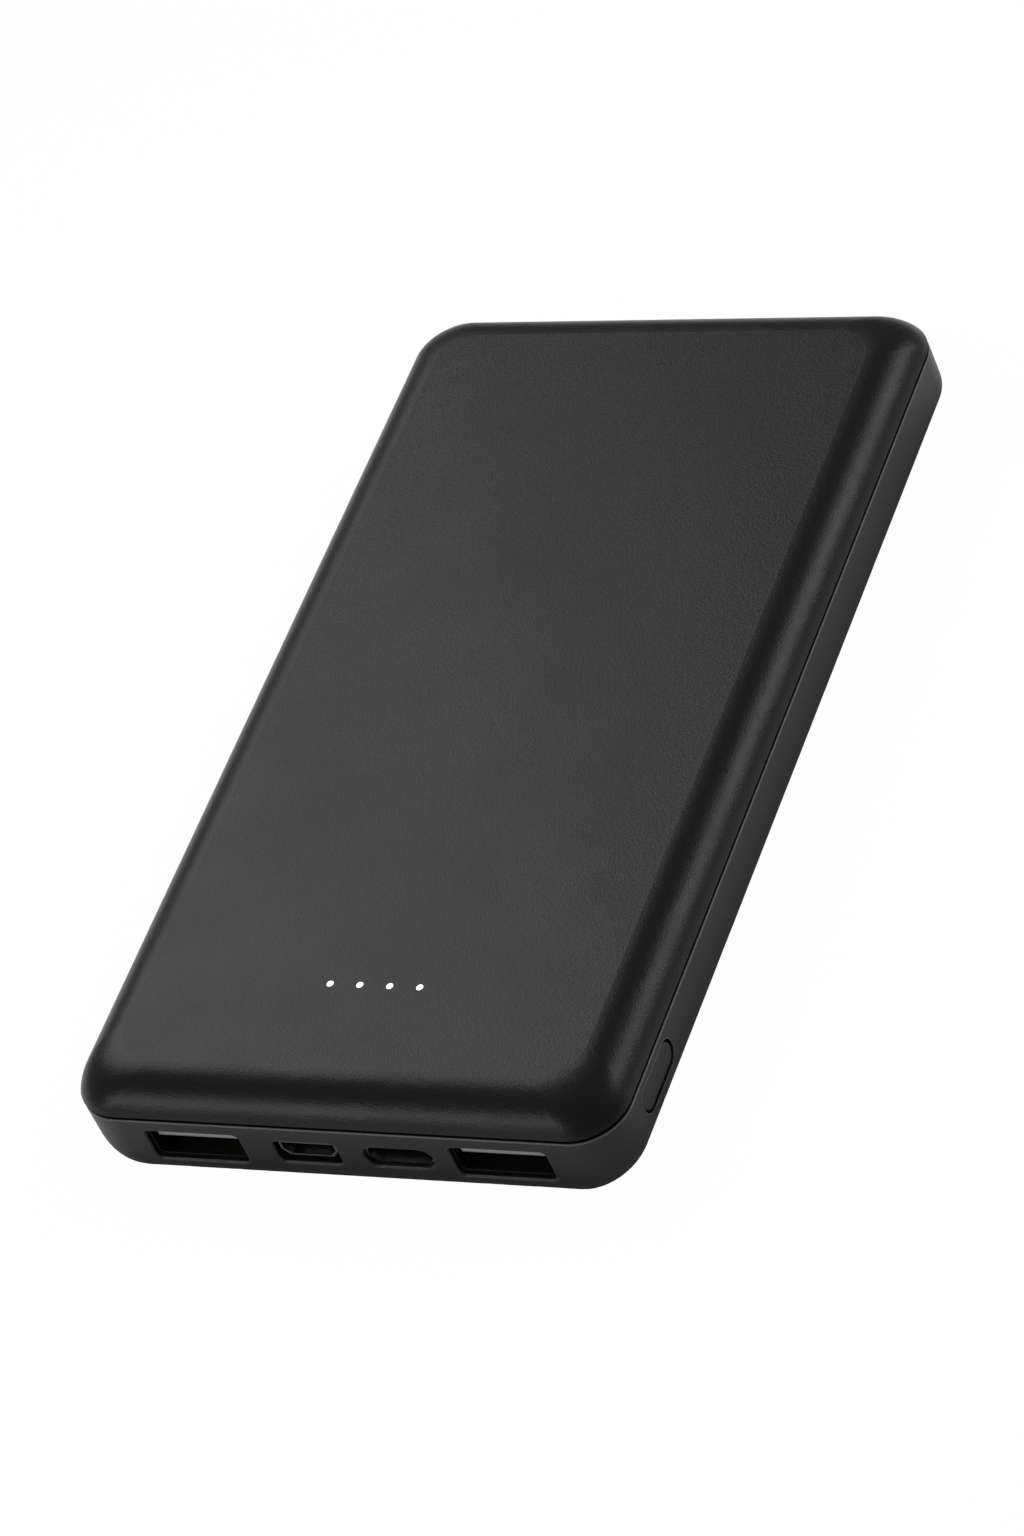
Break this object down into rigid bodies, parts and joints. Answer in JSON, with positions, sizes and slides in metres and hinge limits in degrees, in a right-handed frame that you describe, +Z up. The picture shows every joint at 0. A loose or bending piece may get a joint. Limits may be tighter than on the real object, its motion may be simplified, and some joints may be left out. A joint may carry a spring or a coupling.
{
  "type": "power bank",
  "caption": "Slim rounded power bank with USB sockets on one end, a side push button and a row of charge lights on its cover.",
  "frame": {"origin": "middle of the footprint, on the surface that the case rests on", "axes": "+X to the button side, -Y to the end with the sockets, +Z up through the cover with the charge lights"},
  "size_m": [0.072, 0.1326, 0.0142],
  "materials": {
    "case_plastic": "fine moulded grain, charcoal black",
    "cover_plastic": "fine moulded grain, charcoal black",
    "button_plastic": "satin moulded, charcoal black",
    "switch_plastic": "black nylon",
    "tinned_metal": "tinned",
    "socket_shell": "nickel plated, dull",
    "socket_tongue": "moulded liquid crystal polymer",
    "gold_contact": "gold flash",
    "circuit_board": "green solder mask",
    "screw_steel": "zinc plated",
    "ferrite": "pressed ferrite",
    "chip_resin": "moulded epoxy",
    "capacitor_ceramic": "fired ceramic",
    "resistor_body": "glazed ceramic",
    "led_body": "clear resin over yellow phosphor",
    "light_guide": "clear acrylic",
    "mask_foam": "black foam rubber",
    "pouch_foil": "laminated pouch foil",
    "adhesive_pad": "white double-sided tape",
    "foam_pad": "open-cell foam",
    "nickel_tab": "nickel strip",
    "amber_tape": "polyimide tape",
    "red_lead": "silicone insulation",
    "black_lead": "silicone insulation"
  },
  "bodies": {
    "case": {"battery_cell": "pouch_foil", "board_screws": "screw_steel", "bottom_case": "case_plastic", "cell_adhesive_pad": "adhesive_pad", "cell_tabs": "nickel_tab", "ceramic_capacitors": "capacitor_ceramic", "chip_resistors": "resistor_body", "cover_foam_pad": "foam_pad", "insulating_tape": "amber_tape", "light_guide": "light_guide", "light_mask": "mask_foam", "main_board": "circuit_board", "micro_usb_contacts": "gold_contact", "micro_usb_shell": "socket_shell", "micro_usb_tongue": "socket_tongue", "negative_lead": "black_lead", "port_controllers": "chip_resin", "positive_lead": "red_lead", "power_controller": "chip_resin", "power_inductor": "ferrite", "protection_board": "circuit_board", "protection_chips": "chip_resin", "status_leds": "led_body", "switch_body": "switch_plastic", "switch_terminals": "tinned_metal", "switching_transistors": "chip_resin", "top_cover": "cover_plastic", "usb_a_left_contacts": "gold_contact", "usb_a_left_shell": "socket_shell", "usb_a_left_tongue": "socket_tongue", "usb_a_right_contacts": "gold_contact", "usb_a_right_shell": "socket_shell", "usb_a_right_tongue": "socket_tongue", "usb_c_contacts": "gold_contact", "usb_c_shell": "socket_shell", "usb_c_tongue": "socket_tongue"},
    "power_button": {"power_button": "button_plastic"},
    "switch_plunger": {"switch_plunger": "switch_plastic"}
  },
  "joints": [
    {"name": "power_button_press", "type": "slide", "parent": "case", "child": "power_button", "axis": [-1, 0, 0], "range_m": [0, 0.0003], "stiffness_N_per_m": 600},
    {"name": "switch_plunger_press", "type": "slide", "parent": "case", "child": "switch_plunger", "axis": [-1, 0, 0], "range_m": [0, 0.0003]}
  ],
  "couplings": [
    {"joint": "switch_plunger_press", "follows": "power_button_press", "ratio": 1}
  ]
}
